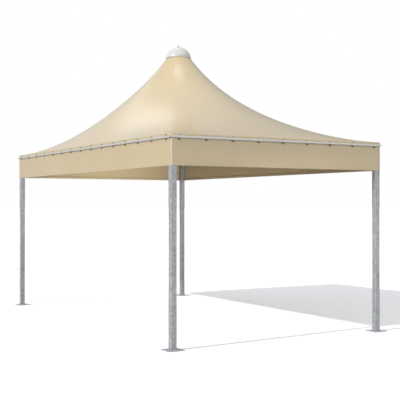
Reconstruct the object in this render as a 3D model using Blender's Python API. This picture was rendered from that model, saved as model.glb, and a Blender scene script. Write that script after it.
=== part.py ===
# Marquee tent: four square steel posts under a frame of eave beams, a flying mast on four raking
# struts, one coated-fabric roof skin drawn up to a crown ring, a flat valance held by clamped rails.
# Metres, +Z up. The long side lies along X, the short side along Y, and the feet stand on z = 0.

import math

import bmesh
import bpy
import numpy as np
from mathutils import Vector

# Overall size, to the outer face of the valance
HALF_LENGTH = 2.575
HALF_WIDTH = 1.500
EAVE_HEIGHT = 2.390
VALANCE_BOTTOM = 2.030
RAIL_HEIGHT = 2.347
GAP = 0.0003

# Roof skin and crown
SKIN_THICKNESS = 0.003
SKIN_TOP_RADIUS = 0.130
SKIN_TOP_HEIGHT = 3.766
HOOP_TO_RADIAL_TENSION = 0.416
RINGS = 20
RING_SPREAD = 1.5
LONG_SIDE_STEPS = 22
SHORT_SIDE_STEPS = 14
CROWN_BAR_RADIUS = 0.0125
CROWN_BAR_INSET = 0.007
CROWN_SLACK = 0.0012
SLOPE_SAMPLE = 0.002
COLLAR_LENGTH = 0.050
SPOKE_COUNT = 4
SPOKE_WIDTH = 0.025
SPOKE_THICKNESS = 0.006

# Square and rectangular steel sections
POST_SIDE = 0.070
BEAM_DEPTH = 0.040
BEAM_HEIGHT = 0.080
STEEL_WALL = 0.003
SECTION_CORNER = 0.006

# Feet
PLATE_SIDE = 0.200
PLATE_THICKNESS = 0.008
ANCHOR_SPACING = 0.140
ANCHOR_HOLE_RADIUS = 0.007

# Corner brackets, mast and struts
BRACKET_PLATE = 0.008
BRACKET_LONG_LEG = 0.320
BRACKET_SHORT_LEG = 0.240
LUG_THICKNESS = 0.008
LUG_LENGTH = 0.085
LUG_HEIGHT = 0.066
LUG_PAST_STRUT = 0.010
MAST_RADIUS = 0.030
MAST_BOTTOM = 2.620
MAST_TOP_PLATE = 0.008
STRUT_RADIUS = 0.0212
STRUT_WALL = 0.0026
STRUT_LOW_HEIGHT = 2.343
STRUT_HUB_HEIGHT = 2.715
STRUT_TO_BEAM = 0.020
STRUT_TO_SLEEVE = 0.022
SLOT_OVERRUN = 0.010
SLOT_CLEARANCE = 0.002
HUB_LUG_REACH = 0.130
HUB_LENGTH = 0.120
SLEEVE_WALL = 0.006

# Dome cap and finial
CAP_TOP = 3.861
CAP_RADIUS = 0.182
CAP_WALL = 0.003
CAP_STEPS = 18
FINIAL_HEIGHT = 0.022
FINIAL_RADIUS = 0.016
FINIAL_FLANGE = 0.003
FINIAL_NECK_TOP = 0.012
FINIAL_SHOULDER = 0.017
FINIAL_CROWN = 0.0205
FINIAL_STEM_RADIUS = 0.0047
FINIAL_STEM_LENGTH = 0.030

# Tension rails and their saddle clamps
RAIL_RADIUS = 0.0125
RAIL_WALL = 0.002
CLAMP_PITCH = 0.350
CLAMP_WIDTH = 0.036
CLAMP_HEIGHT = 0.066
CLAMP_STRAP = 0.003
CLAMP_ARCH_STEPS = 8

# Finishes: linear colour, metallic share, roughness
GALVANISED = ((0.42, 0.43, 0.44), 1.0, 0.45)
COATED_FABRIC = ((0.66, 0.56, 0.38), 0.0, 0.50)
CAP_PLASTIC = ((0.74, 0.75, 0.75), 0.0, 0.35)
RAIL_METAL = ((0.55, 0.55, 0.55), 1.0, 0.35)

# Sizes worked out from the ones above
POST_X = HALF_LENGTH - SKIN_THICKNESS - GAP - POST_SIDE / 2
POST_Y = HALF_WIDTH - SKIN_THICKNESS - GAP - POST_SIDE / 2
FRAME_TOP = EAVE_HEIGHT - SKIN_THICKNESS - GAP
BEAM_BOTTOM = FRAME_TOP - BEAM_HEIGHT
DIAGONAL = math.atan2(POST_Y, POST_X)
CORNERS = {
    "front_left": (-1, -1),
    "front_right": (1, -1),
    "back_right": (1, 1),
    "back_left": (-1, 1),
}
SIDES = {
    "front": (Vector((1, 0, 0)), Vector((0, -1, 0)), HALF_LENGTH, HALF_WIDTH),
    "back": (Vector((-1, 0, 0)), Vector((0, 1, 0)), HALF_LENGTH, HALF_WIDTH),
    "left": (Vector((0, -1, 0)), Vector((-1, 0, 0)), HALF_WIDTH, HALF_LENGTH),
    "right": (Vector((0, 1, 0)), Vector((1, 0, 0)), HALF_WIDTH, HALF_LENGTH),
}
UP = Vector((0, 0, 1))


def clear_scene():
    for item in list(bpy.data.objects):
        bpy.data.objects.remove(item, do_unlink=True)


def material(name, color, metallic, roughness):
    made = bpy.data.materials.new(name)
    made.use_nodes = True
    shader = made.node_tree.nodes["Principled BSDF"]
    shader.inputs["Base Color"].default_value = (*color, 1.0)
    shader.inputs["Metallic"].default_value = metallic
    shader.inputs["Roughness"].default_value = roughness
    return made


def steel(name):
    return material(name + "_steel", *GALVANISED)


def fabric(name):
    return material(name + "_fabric", *COATED_FABRIC)


def solid(name, points, faces, look):
    mesh = bpy.data.meshes.new(name)
    mesh.from_pydata([tuple(point) for point in points], [], faces)
    shaper = bmesh.new()
    shaper.from_mesh(mesh)
    bmesh.ops.recalc_face_normals(shaper, faces=shaper.faces)
    shaper.to_mesh(mesh)
    shaper.free()
    made = bpy.data.objects.new(name, mesh)
    bpy.context.scene.collection.objects.link(made)
    if look is not None:
        mesh.materials.append(look)
    return made


def round_off(piece, degrees=35):
    mesh = piece.data
    mesh.polygons.foreach_set("use_smooth", [True] * len(mesh.polygons))
    mesh.set_sharp_from_angle(angle=math.radians(degrees))


def prism(name, outline, origin, across, over, along, length, look=None):
    # outline is a closed list of (across, over) pairs, pushed from origin along the third direction
    count = len(outline)
    base = [origin + across * a + over * b for a, b in outline]
    points = base + [point + along * length for point in base]
    sides = [(i, (i + 1) % count, (i + 1) % count + count, i + count) for i in range(count)]
    faces = sides + [tuple(reversed(range(count))), tuple(range(count, 2 * count))]
    return solid(name, points, faces, look)


def hollow_prism(name, outer, inner, origin, across, over, along, length, look=None):
    # outer and inner have the same number of pairs; both ends stay open into the bore
    count = len(outer)
    loops = [outer, inner]
    points = []
    for shift in (0.0, length):
        for loop in loops:
            points += [origin + across * a + over * b + along * shift for a, b in loop]
    faces = []
    for i in range(count):
        j = (i + 1) % count
        faces.append((i, j, j + 2 * count, i + 2 * count))
        faces.append((j + count, i + count, i + 3 * count, j + 3 * count))
        faces.append((j, i, i + count, j + count))
        faces.append((i + 2 * count, j + 2 * count, j + 3 * count, i + 3 * count))
    return solid(name, points, faces, look)


def circle(radius, steps, turn=0.0):
    angles = [turn + 2 * math.pi * i / steps for i in range(steps)]
    return [(radius * math.cos(angle), radius * math.sin(angle)) for angle in angles]


def rounded_rectangle(width, height, corner, steps=3):
    outline = []
    centres = [(1, 1, 0), (-1, 1, 90), (-1, -1, 180), (1, -1, 270)]
    for side_a, side_b, start in centres:
        middle_a = side_a * (width / 2 - corner)
        middle_b = side_b * (height / 2 - corner)
        for i in range(steps + 1):
            angle = math.radians(start + 90 * i / steps)
            outline.append((middle_a + corner * math.cos(angle), middle_b + corner * math.sin(angle)))
    return outline


def box(name, low, high, look=None):
    outline = [(low[0], low[1]), (high[0], low[1]), (high[0], high[1]), (low[0], high[1])]
    origin = Vector((0, 0, low[2]))
    return prism(name, outline, origin, Vector((1, 0, 0)), Vector((0, 1, 0)), UP, high[2] - low[2], look)


def turned(name, profile, steps, look=None):
    # profile is a closed loop of (radius, height) pairs that never touches the axis
    count = len(profile)
    points = []
    for i in range(steps):
        angle = 2 * math.pi * i / steps
        points += [Vector((r * math.cos(angle), r * math.sin(angle), z)) for r, z in profile]
    faces = []
    for i in range(steps):
        j = (i + 1) % steps
        for k in range(count):
            n = (k + 1) % count
            faces.append((i * count + k, j * count + k, j * count + n, i * count + n))
    return solid(name, points, faces, look)


def turned_to_axis(name, profile, steps, look=None):
    # profile is an open line of (radius, height) pairs, closed on the axis at both ends
    points = [Vector((0, 0, profile[0][1]))]
    for r, z in profile:
        for i in range(steps):
            angle = 2 * math.pi * i / steps
            points.append(Vector((r * math.cos(angle), r * math.sin(angle), z)))
    points.append(Vector((0, 0, profile[-1][1])))
    last = len(points) - 1
    faces = []
    for i in range(steps):
        j = (i + 1) % steps
        faces.append((0, 1 + j, 1 + i))
        for k in range(len(profile) - 1):
            here = 1 + k * steps
            above = here + steps
            faces.append((here + i, here + j, above + j, above + i))
        top = 1 + (len(profile) - 1) * steps
        faces.append((top + i, top + j, last))
    return solid(name, points, faces, look)


def combine(piece, others, operation):
    # The other solids are used up
    for other in others:
        change = piece.modifiers.new("change", "BOOLEAN")
        change.solver = "EXACT"
        change.operation = operation
        change.object = other
    result = piece.evaluated_get(bpy.context.evaluated_depsgraph_get())
    shaped = bpy.data.meshes.new_from_object(result)
    piece.modifiers.clear()
    piece.data = shaped
    for other in others:
        bpy.data.objects.remove(other, do_unlink=True)
    return piece


# Feet and posts

def base_plate(name, side_x, side_y):
    middle_x = side_x * POST_X
    middle_y = side_y * POST_Y
    half = PLATE_SIDE / 2
    low = (middle_x - half, middle_y - half, 0.0)
    high = (middle_x + half, middle_y + half, PLATE_THICKNESS)
    plate = box("base_plate_" + name, low, high, steel("base_plate_" + name))
    holes = []
    for hole_x in (-1, 1):
        for hole_y in (-1, 1):
            origin = Vector((middle_x + hole_x * ANCHOR_SPACING / 2,
                             middle_y + hole_y * ANCHOR_SPACING / 2, -PLATE_THICKNESS))
            holes.append(prism("hole", circle(ANCHOR_HOLE_RADIUS, 16), origin, Vector((1, 0, 0)),
                               Vector((0, 1, 0)), UP, 3 * PLATE_THICKNESS))
    return combine(plate, holes, "DIFFERENCE")


def post(name, side_x, side_y):
    outer = rounded_rectangle(POST_SIDE, POST_SIDE, SECTION_CORNER)
    bore = POST_SIDE - 2 * STEEL_WALL
    inner = rounded_rectangle(bore, bore, SECTION_CORNER - STEEL_WALL)
    foot = PLATE_THICKNESS + GAP
    origin = Vector((side_x * POST_X, side_y * POST_Y, foot))
    made = hollow_prism("post_" + name, outer, inner, origin, Vector((1, 0, 0)), Vector((0, 1, 0)), UP,
                        FRAME_TOP - foot, steel("post_" + name))
    round_off(made)
    return made


# Eave frame

def eave_beam(name, along, out, half_run, half_across):
    outer = rounded_rectangle(BEAM_DEPTH, BEAM_HEIGHT, SECTION_CORNER)
    inner = rounded_rectangle(BEAM_DEPTH - 2 * STEEL_WALL, BEAM_HEIGHT - 2 * STEEL_WALL,
                              SECTION_CORNER - STEEL_WALL)
    half_clear = half_run - SKIN_THICKNESS - GAP - POST_SIDE - GAP
    outward = half_across - SKIN_THICKNESS - GAP - BEAM_DEPTH / 2
    origin = out * outward + UP * (FRAME_TOP - BEAM_HEIGHT / 2) - along * half_clear
    made = hollow_prism("eave_beam_" + name, outer, inner, origin, out, UP, along, 2 * half_clear,
                        steel("eave_beam_" + name))
    round_off(made)
    return made


def diagonal_frame(side_x, side_y):
    # The level direction from the tent's middle to this corner, and the level one across it
    outward = Vector((side_x * math.cos(DIAGONAL), side_y * math.sin(DIAGONAL), 0))
    return outward, UP.cross(outward)


def strut_end_radius():
    # Where the strut's foot clears the inner face of the long eave beam
    beam_face = HALF_WIDTH - SKIN_THICKNESS - GAP - BEAM_DEPTH
    clearance = STRUT_RADIUS * math.cos(DIAGONAL) + STRUT_TO_BEAM
    return (beam_face - clearance) / math.sin(DIAGONAL)


def corner_bracket(name, side_x, side_y):
    post_face_x = POST_X - POST_SIDE / 2 - GAP
    post_face_y = POST_Y - POST_SIDE / 2 - GAP
    edge_x = HALF_LENGTH - SKIN_THICKNESS - GAP
    edge_y = HALF_WIDTH - SKIN_THICKNESS - GAP
    outline = [
        (post_face_x, edge_y),
        (post_face_x - BRACKET_LONG_LEG, edge_y),
        (edge_x, post_face_y - BRACKET_SHORT_LEG),
        (edge_x, post_face_y),
        (post_face_x, post_face_y),
    ]
    plate_top = BEAM_BOTTOM - GAP
    origin = Vector((0, 0, plate_top - BRACKET_PLATE))
    outline = [(side_x * a, side_y * b) for a, b in outline]
    plate = prism("corner_bracket_" + name, outline, origin, Vector((1, 0, 0)), Vector((0, 1, 0)), UP,
                  BRACKET_PLATE, steel("corner_bracket_" + name))
    outward, sideways = diagonal_frame(side_x, side_y)
    lug_end = strut_end_radius() + LUG_PAST_STRUT
    low = plate_top - BRACKET_PLATE / 2
    lug_outline = [(lug_end - LUG_LENGTH, low), (lug_end, low), (lug_end, plate_top + LUG_HEIGHT),
                   (lug_end - LUG_LENGTH, plate_top + LUG_HEIGHT)]
    lug = prism("lug", lug_outline, sideways * (-LUG_THICKNESS / 2), outward, UP, sideways, LUG_THICKNESS)
    return combine(plate, [lug], "UNION")


# Flying mast: mast, hub and raking struts

def mast_top_height():
    # The mast's rim meets the inside of the dome
    inner = CAP_RADIUS - CAP_WALL
    return CAP_TOP - CAP_RADIUS + math.sqrt(inner ** 2 - MAST_RADIUS ** 2) - GAP


def mast():
    top = mast_top_height()
    hole = FINIAL_STEM_RADIUS + GAP
    profile = [
        (MAST_RADIUS, MAST_BOTTOM),
        (MAST_RADIUS, top),
        (hole, top),
        (hole, top - MAST_TOP_PLATE),
        (MAST_RADIUS - STEEL_WALL, top - MAST_TOP_PLATE),
        (MAST_RADIUS - STEEL_WALL, MAST_BOTTOM),
    ]
    made = turned("mast", profile, 32, steel("mast"))
    round_off(made)
    return made


def mast_hub():
    inner = MAST_RADIUS + GAP
    outer = inner + SLEEVE_WALL
    low = STRUT_HUB_HEIGHT - HUB_LENGTH / 2
    high = low + HUB_LENGTH
    profile = [(outer, low), (outer, high), (inner, high), (inner, low)]
    hub = turned("mast_hub", profile, 32, steel("mast_hub"))
    lugs = []
    root = inner + SLEEVE_WALL / 2
    below = STRUT_HUB_HEIGHT - LUG_HEIGHT / 2
    above = STRUT_HUB_HEIGHT + LUG_HEIGHT / 2
    outline = [(root, below), (HUB_LUG_REACH, below), (HUB_LUG_REACH, above), (root, above)]
    for side_x, side_y in CORNERS.values():
        outward, sideways = diagonal_frame(side_x, side_y)
        face = sideways * (-LUG_THICKNESS / 2)
        lugs.append(prism("lug", outline, face, outward, UP, sideways, LUG_THICKNESS))
    made = combine(hub, lugs, "UNION")
    round_off(made)
    return made


def strut(name, side_x, side_y):
    outward, sideways = diagonal_frame(side_x, side_y)
    far = strut_end_radius()
    near = MAST_RADIUS + GAP + SLEEVE_WALL + STRUT_TO_SLEEVE
    middle_near = (near + HUB_LUG_REACH) / 2
    middle_far = far - LUG_LENGTH / 2
    rise = (STRUT_HUB_HEIGHT - STRUT_LOW_HEIGHT) / (middle_far - middle_near)

    def axis_point(radius):
        return outward * radius + UP * (STRUT_LOW_HEIGHT + rise * (middle_far - radius))

    start = axis_point(far)
    end = axis_point(near)
    along = (end - start).normalized()
    over = along.cross(sideways)
    made = hollow_prism("strut_" + name, circle(STRUT_RADIUS, 24), circle(STRUT_RADIUS - STRUT_WALL, 24),
                        start, sideways, over, along, (end - start).length, steel("strut_" + name))
    # Both ends are slotted over a lug
    slot = LUG_THICKNESS / 2 + GAP
    depth = 2 * STRUT_RADIUS
    outline = [(-slot, -depth), (slot, -depth), (slot, depth), (-slot, depth)]
    low_length = LUG_LENGTH + SLOT_CLEARANCE
    low_slot = prism("slot", outline, start - along * SLOT_OVERRUN, sideways, over, along,
                     low_length + SLOT_OVERRUN)
    high_length = HUB_LUG_REACH - near + 3 * SLOT_CLEARANCE
    high_slot = prism("slot", outline, end - along * high_length, sideways, over, along,
                      high_length + SLOT_OVERRUN)
    made = combine(made, [low_slot, high_slot], "DIFFERENCE")
    round_off(made)
    return made


# Roof skin, found as a fabric in tension between the eave rectangle and the crown

def skin_plan():
    # Plan positions of the net: rows run from the crown to the eave, columns go once round
    eave = []
    steps = [(LONG_SIDE_STEPS, (-HALF_LENGTH, -HALF_WIDTH), (HALF_LENGTH, -HALF_WIDTH)),
             (SHORT_SIDE_STEPS, (HALF_LENGTH, -HALF_WIDTH), (HALF_LENGTH, HALF_WIDTH)),
             (LONG_SIDE_STEPS, (HALF_LENGTH, HALF_WIDTH), (-HALF_LENGTH, HALF_WIDTH)),
             (SHORT_SIDE_STEPS, (-HALF_LENGTH, HALF_WIDTH), (-HALF_LENGTH, -HALF_WIDTH))]
    for count, start, end in steps:
        for i in range(count):
            share = i / count
            eave.append((start[0] + (end[0] - start[0]) * share, start[1] + (end[1] - start[1]) * share))
    eave = np.array(eave)
    crown = SKIN_TOP_RADIUS * eave / np.linalg.norm(eave, axis=1, keepdims=True)
    reach = (np.arange(RINGS + 1) / RINGS) ** RING_SPREAD
    return crown[None] + reach[:, None, None] * (eave - crown)[None]


def skin_heights(plan):
    # Level-by-level balance of a net of triangles whose tension runs mostly from crown to eave
    rows, columns = plan.shape[:2]
    index = np.arange(rows * columns).reshape(rows, columns)
    after = np.roll(index, -1, axis=1)
    a, b, c, d = index[:-1].ravel(), after[:-1].ravel(), after[1:].ravel(), index[1:].ravel()
    triangles = np.concatenate([np.stack(three, 1) for three in ((a, b, c), (a, c, d), (a, b, d), (b, c, d))])
    corners = plan.reshape(-1, 2)[triangles]
    edges = np.stack([corners[:, 2] - corners[:, 1], corners[:, 0] - corners[:, 2],
                      corners[:, 1] - corners[:, 0]], 1)
    doubled = edges[:, 0, 0] * edges[:, 1, 1] - edges[:, 0, 1] * edges[:, 1, 0]
    slopes = np.stack([-edges[:, :, 1], edges[:, :, 0]], -1) / doubled[:, None, None]
    centres = corners.mean(1)
    radius = np.linalg.norm(centres, axis=1)
    radial = centres / radius[:, None]
    hoop = np.stack([-radial[:, 1], radial[:, 0]], -1)
    down = (slopes * radial[:, None, :]).sum(-1)
    round_about = (slopes * hoop[:, None, :]).sum(-1)
    tension = radius ** (HOOP_TO_RADIAL_TENSION - 1) * np.abs(doubled) / 4
    share = down[:, :, None] * down[:, None, :]
    share = share + HOOP_TO_RADIAL_TENSION * round_about[:, :, None] * round_about[:, None, :]
    share = share * tension[:, None, None]
    balance = np.zeros((rows * columns, rows * columns))
    np.add.at(balance, (triangles[:, :, None], triangles[:, None, :]), share)
    heights = np.empty(rows * columns)
    heights[index[0]] = SKIN_TOP_HEIGHT
    heights[index[-1]] = EAVE_HEIGHT
    free = index[1:-1].ravel()
    held = np.concatenate([index[0], index[-1]])
    heights[free] = np.linalg.solve(balance[np.ix_(free, free)], -balance[np.ix_(free, held)] @ heights[held])
    return heights.reshape(rows, columns)


def skin_drop(plan, heights):
    # Vertical thickness that keeps the true thickness where the skin is steep
    run = np.linalg.norm(np.gradient(plan, axis=0), axis=-1)
    fall = np.gradient(heights, axis=0)
    return SKIN_THICKNESS * np.sqrt(1 + (fall / run) ** 2)


def roof_membrane(plan, heights):
    rows, columns = heights.shape
    under = heights - skin_drop(plan, heights)
    under[-1] = heights[-1] - SKIN_THICKNESS
    points = []
    for layer in (heights, under):
        for i in range(rows):
            points += [(plan[i, j, 0], plan[i, j, 1], layer[i, j]) for j in range(columns)]
    size = rows * columns
    faces = []
    for j in range(columns):
        n = (j + 1) % columns
        for i in range(rows - 1):
            a, b = i * columns + j, i * columns + n
            c, d = a + columns, b + columns
            faces.append((a, c, d, b))
            faces.append((a + size, b + size, d + size, c + size))
        last = (rows - 1) * columns
        faces.append((j, n, n + size, j + size))
        faces.append((last + n, last + j, last + j + size, last + n + size))
    made = solid("roof_membrane", points, faces, fabric("roof_membrane"))
    round_off(made, 50)
    return made


def skin_height_at(plan, heights, radius):
    # The highest point of the skin at this distance from the axis
    distance = np.linalg.norm(plan, axis=-1)
    columns = range(heights.shape[1])
    return max(float(np.interp(radius, distance[:, j], heights[:, j])) for j in columns)


# Crown: ring bar, spokes and collar that hold the skin's top out from the mast

def crown_ring(plan, heights):
    touch = SKIN_TOP_RADIUS + CROWN_BAR_INSET
    above = skin_height_at(plan, heights, touch - SLOPE_SAMPLE)
    below = skin_height_at(plan, heights, touch + SLOPE_SAMPLE)
    steepness = math.atan2(above - below, 2 * SLOPE_SAMPLE)
    under = (above + below) / 2 - SKIN_THICKNESS / math.cos(steepness)
    reach = CROWN_BAR_RADIUS + CROWN_SLACK
    middle_radius = touch - reach * math.sin(steepness)
    middle_height = under - reach * math.cos(steepness)
    bar = [(middle_radius + r, middle_height + z) for r, z in circle(CROWN_BAR_RADIUS, 12)]
    ring = turned("crown_ring", bar, 48, steel("crown_ring"))
    inner = MAST_RADIUS + GAP
    outer = inner + SLEEVE_WALL
    low = middle_height - COLLAR_LENGTH / 2
    high = middle_height + COLLAR_LENGTH / 2
    collar = turned("collar", [(outer, low), (outer, high), (inner, high), (inner, low)], 32)
    half_width = SPOKE_WIDTH / 2
    half_depth = SPOKE_THICKNESS / 2
    outline = [(-half_width, -half_depth), (half_width, -half_depth), (half_width, half_depth),
               (-half_width, half_depth)]
    spokes = []
    for i in range(SPOKE_COUNT):
        angle = 2 * math.pi * (i + 0.5) / SPOKE_COUNT
        outward = Vector((math.cos(angle), math.sin(angle), 0))
        sideways = UP.cross(outward)
        start = outward * (inner + SLEEVE_WALL / 2) + UP * middle_height
        spokes.append(prism("spoke", outline, start, sideways, UP, outward,
                            middle_radius - inner - SLEEVE_WALL / 2))
    made = combine(ring, [collar] + spokes, "UNION")
    round_off(made)
    return made


# Dome cap and finial

def dome_cap(plan, heights):
    middle = CAP_TOP - CAP_RADIUS
    inner = CAP_RADIUS - CAP_WALL
    rim = middle
    for _ in range(12):
        # The rim climbs until its inner edge just rests on the skin
        rim = skin_height_at(plan, heights, math.sqrt(inner ** 2 - (rim - middle) ** 2)) + 2 * GAP
    hole = FINIAL_STEM_RADIUS + GAP
    profile = []
    low = math.asin((rim - middle) / CAP_RADIUS)
    high = math.acos(hole / CAP_RADIUS)
    for i in range(CAP_STEPS + 1):
        angle = low + (high - low) * i / CAP_STEPS
        profile.append((CAP_RADIUS * math.cos(angle), middle + CAP_RADIUS * math.sin(angle)))
    low = math.asin((rim - middle) / inner)
    high = math.acos(hole / inner)
    for i in range(CAP_STEPS, -1, -1):
        angle = low + (high - low) * i / CAP_STEPS
        profile.append((inner * math.cos(angle), middle + inner * math.sin(angle)))
    look = material("dome_cap_shell", *CAP_PLASTIC)
    made = turned("dome_cap", profile, 48, look)
    round_off(made)
    return made


def finial():
    low = CAP_TOP + GAP
    profile = [
        (FINIAL_STEM_RADIUS, low - FINIAL_STEM_LENGTH),
        (FINIAL_STEM_RADIUS, low),
        (FINIAL_RADIUS, low),
        (FINIAL_RADIUS, low + FINIAL_FLANGE),
        (FINIAL_RADIUS * 0.75, low + 2 * FINIAL_FLANGE),
        (FINIAL_RADIUS * 0.75, low + FINIAL_NECK_TOP),
        (FINIAL_RADIUS * 0.62, low + FINIAL_SHOULDER),
        (FINIAL_RADIUS * 0.36, low + FINIAL_CROWN),
        (FINIAL_RADIUS * 0.10, low + FINIAL_HEIGHT),
    ]
    made = turned_to_axis("finial", profile, 24, steel("finial"))
    round_off(made, 40)
    return made


# Valance panels and their tension rails

def valance(name, along, out, half_run, half_across):
    # Front and back panels run corner to corner; the side panels fit between them
    end = half_run if name in ("front", "back") else half_run - SKIN_THICKNESS - GAP
    outline = [(-end, VALANCE_BOTTOM), (end, VALANCE_BOTTOM), (end, FRAME_TOP), (-end, FRAME_TOP)]
    origin = out * (half_across - SKIN_THICKNESS)
    look = fabric("valance_" + name)
    return prism("valance_" + name, outline, origin, along, UP, out, SKIN_THICKNESS, look)


def clamp_places(half_run):
    count = int(2 * half_run / CLAMP_PITCH + 0.5)
    first = -CLAMP_PITCH * (count - 1) / 2
    return [first + CLAMP_PITCH * i for i in range(count)]


def saddle_clamp(origin, along, out):
    # Two feet flat on the fabric and a strap over the rail, seen as one outline along the rail
    over = RAIL_RADIUS + CLAMP_STRAP
    foot = CLAMP_STRAP
    back = -RAIL_RADIUS
    half = CLAMP_HEIGHT / 2
    outline = [(back, -half), (back + foot, -half), (back + foot, -over)]
    for i in range(CLAMP_ARCH_STEPS + 1):
        angle = math.pi * (i / CLAMP_ARCH_STEPS - 0.5)
        outline.append((over * math.cos(angle), over * math.sin(angle)))
    outline += [(back + foot, over), (back + foot, half), (back, half)]
    start = origin - along * (CLAMP_WIDTH / 2)
    return prism("clamp", outline, start, out, UP, along, CLAMP_WIDTH)


def rail(name, along, out, half_run, half_across):
    middle = out * (half_across + GAP + RAIL_RADIUS) + UP * RAIL_HEIGHT
    tube = hollow_prism("rail_" + name, circle(RAIL_RADIUS, 20), circle(RAIL_RADIUS - RAIL_WALL, 20),
                        middle - along * half_run, out, UP, along, 2 * half_run,
                        material("rail_" + name + "_metal", *RAIL_METAL))
    clamps = []
    for place in clamp_places(half_run):
        clamp = saddle_clamp(middle + along * place, along, out)
        bore = prism("bore", circle(RAIL_RADIUS - RAIL_WALL / 2, 20), middle + along * (place - CLAMP_WIDTH),
                     out, UP, along, 2 * CLAMP_WIDTH)
        clamps.append(combine(clamp, [bore], "DIFFERENCE"))
    made = combine(tube, clamps, "UNION")
    round_off(made)
    return made


clear_scene()
for corner, (sign_x, sign_y) in CORNERS.items():
    base_plate(corner, sign_x, sign_y)
    post(corner, sign_x, sign_y)
    corner_bracket(corner, sign_x, sign_y)
    strut(corner, sign_x, sign_y)
for side, directions in SIDES.items():
    eave_beam(side, *directions)
    valance(side, *directions)
    rail(side, *directions)
mast()
mast_hub()
net_plan = skin_plan()
net_heights = skin_heights(net_plan)
roof_membrane(net_plan, net_heights)
crown_ring(net_plan, net_heights)
dome_cap(net_plan, net_heights)
finial()
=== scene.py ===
import math

import bpy
import numpy as np
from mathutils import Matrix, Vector


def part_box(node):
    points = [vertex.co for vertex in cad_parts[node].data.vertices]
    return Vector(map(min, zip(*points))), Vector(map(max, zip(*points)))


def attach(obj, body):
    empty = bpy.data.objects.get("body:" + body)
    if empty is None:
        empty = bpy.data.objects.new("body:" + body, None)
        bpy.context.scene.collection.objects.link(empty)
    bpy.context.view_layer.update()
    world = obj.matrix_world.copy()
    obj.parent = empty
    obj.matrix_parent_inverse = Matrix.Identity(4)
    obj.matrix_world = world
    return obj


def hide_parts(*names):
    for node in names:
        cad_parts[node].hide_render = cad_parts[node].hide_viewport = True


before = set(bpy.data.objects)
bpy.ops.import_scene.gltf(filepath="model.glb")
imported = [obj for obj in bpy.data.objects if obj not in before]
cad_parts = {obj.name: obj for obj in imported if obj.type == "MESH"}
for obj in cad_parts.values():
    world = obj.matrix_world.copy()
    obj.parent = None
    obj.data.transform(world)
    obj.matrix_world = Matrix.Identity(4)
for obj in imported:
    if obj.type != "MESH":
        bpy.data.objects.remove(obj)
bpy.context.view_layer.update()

# Marquee tent: a rectangular garden marquee on four galvanised posts, with a coated-fabric roof
# drawn up to a domed cap. +X is the long side's direction, the front faces -Y, metres throughout.


# Camera
# The photograph's own viewpoint: eye height, almost level, from beyond the front right corner.
# A long lens keeps the posts nearly parallel.
PHOTO_SIDE = 400
FOCAL_LENGTH_IN_PIXELS = 871.5
SENSOR_WIDTH = 36.0
CAMERA_PLACE = Vector((10.9693, -6.0064, 1.5924))
CAMERA_YAW = math.radians(149.877)
CAMERA_PITCH = math.radians(0.345)

photo_lens = bpy.data.cameras.new("photo_view")
photo_lens.sensor_width = SENSOR_WIDTH
photo_lens.lens = SENSOR_WIDTH * FOCAL_LENGTH_IN_PIXELS / PHOTO_SIDE
photo_lens.clip_end = 1000.0
photo_view = bpy.data.objects.new("photo_view", photo_lens)
photo_view.location = CAMERA_PLACE
photo_view.rotation_mode = "QUATERNION"
level_reach = math.cos(CAMERA_PITCH)
looking = Vector((math.cos(CAMERA_YAW) * level_reach, math.sin(CAMERA_YAW) * level_reach,
                  math.sin(CAMERA_PITCH)))
photo_view.rotation_quaternion = looking.to_track_quat("-Z", "Y")
bpy.context.scene.collection.objects.link(photo_view)
bpy.context.scene.camera = photo_view


# Studio
# A plain white floor, one low key light from the front, a dim lamp near the ground that lights the
# tent's far inner faces, and a pale surround with soft-edged bright panels in it. Seen straight on,
# the surround is white paper.
FLOOR_REACH = 400.0
FLOOR_SIDES = 64
KEY_TRAVEL = Vector((-0.10, 0.995, 0.0))
KEY_HEIGHT = math.radians(32.0)
KEY_STRENGTH = 2.0
KEY_SOFTNESS = math.radians(1.5)
# The floor gives back less diffuse light than it shows, as a darker paint would. It is shaded as if
# it leant towards the key light, so that the lit floor stays white and the shadow on it stays grey.
FLOOR_WHITE = (0.880, 0.900, 0.930, 1.0)
FLOOR_BOUNCE = (0.31, 0.31, 0.31, 1.0)
FLOOR_LEAN = 0.50
LOW_FILL_PLACE = Vector((6.5, 0.3, 0.35))
LOW_FILL_TARGET = Vector((-2.575, 0.0, 2.25))
LOW_FILL_WIDTH = 1.6
LOW_FILL_HEIGHT = 0.4
LOW_FILL_SPREAD = math.radians(24)
LOW_FILL_STRENGTH = 10.4
SURROUND_LEVEL = 0.53
# Each panel: azimuth and elevation of its middle, the angles from there at which it starts and ends
# fading, and its brightness. The last one is a dark screen that takes light away.
PANELS = [
    (10, 6, 0, 58, 1.03),
    (-84, 2, 0, 52, 1.94),
    (168, 36, 2, 12, 0.72),
    (166, 20, 5, 25, 0.25),
    (176, 78, 3, 11, 2.05),
    (135, 66, 0, 42, 0.27),
    (0, 90, 0, 72, 0.20),
    (130, 9, 4, 18, -0.12),
]


def linear(code):
    """One sRGB hex colour as linear red, green, blue and alpha."""
    parts = [int(code[i:i + 2], 16) / 255 for i in (0, 2, 4)]
    return (*[c / 12.92 if c <= 0.04045 else ((c + 0.055) / 1.055) ** 2.4 for c in parts], 1.0)


def add(tree, kind, inputs=None, **settings):
    """Adds one node with its settings, and sets or links each of the named inputs."""
    node = tree.nodes.new(kind)
    for name, value in settings.items():
        setattr(node, name, value)
    for name, value in (inputs or {}).items():
        socket = next(s for s in node.inputs if s.enabled and name in (s.name, s.identifier))
        if isinstance(value, bpy.types.NodeSocket):
            tree.links.new(value, socket)
        else:
            socket.default_value = value
    return node


def result(node):
    """The output that is in use on a node whose outputs share one name."""
    return next(s for s in node.outputs if s.enabled)


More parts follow.
